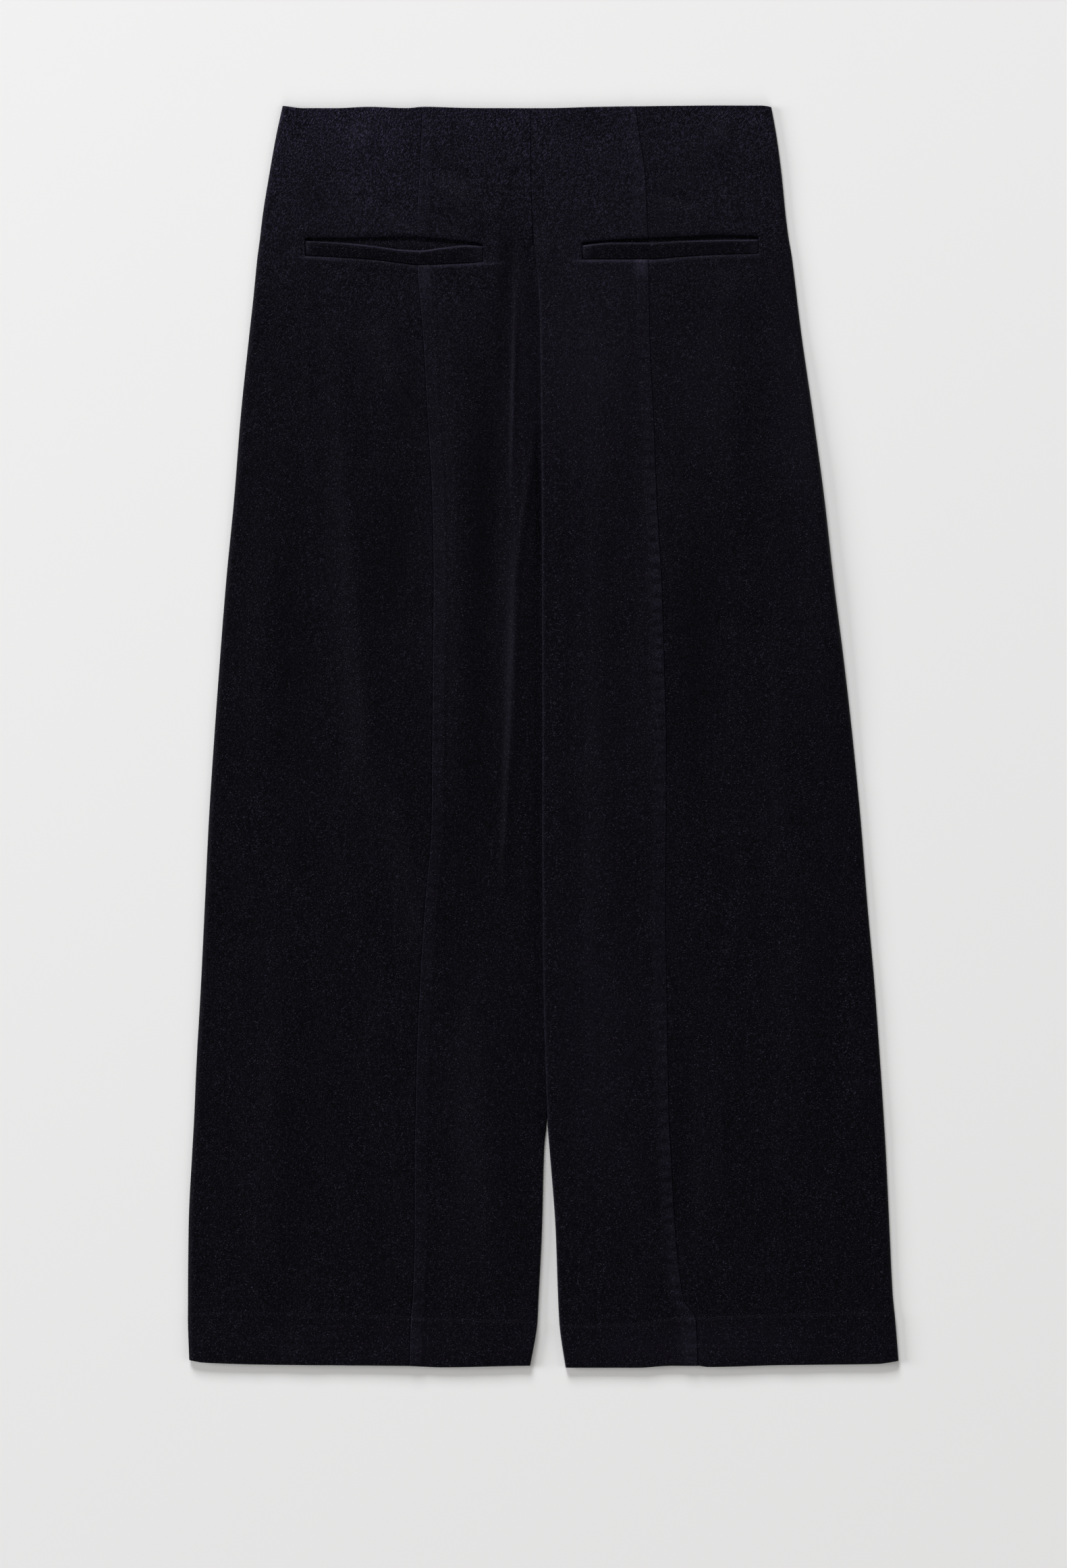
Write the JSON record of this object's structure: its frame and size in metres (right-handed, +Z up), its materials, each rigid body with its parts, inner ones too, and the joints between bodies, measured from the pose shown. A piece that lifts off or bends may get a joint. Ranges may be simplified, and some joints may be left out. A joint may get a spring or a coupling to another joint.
{
  "type": "wide cropped trousers laid flat",
  "caption": "Wide cropped trousers of dark indigo twill, laid flat with the back side up: long seams down the back of both legs, slit back pockets with welts and turned-up hems",
  "frame": {"origin": "on the surface, under the middle of the trousers' length and width", "axes": "+X to the right seen from above, +Y from the hems to the waist, +Z up off the surface"},
  "size_m": [0.548, 0.973, 0.0104],
  "materials": {
    "twill": "woven cotton twill, soft sheen",
    "twill_front": "woven cotton twill",
    "welt_twill": "woven cotton twill, pressed",
    "facing_twill": "woven cotton twill"
  },
  "bodies": {
    "root": {"back_left_side": "twill", "back_left_centre": "twill", "back_right_centre": "twill", "back_right_side": "twill", "front_left": "twill_front", "front_right": "twill_front", "welt_left": "welt_twill", "welt_right": "welt_twill", "pocket_facing_left": "facing_twill", "pocket_facing_right": "facing_twill"}
  },
  "joints": []
}
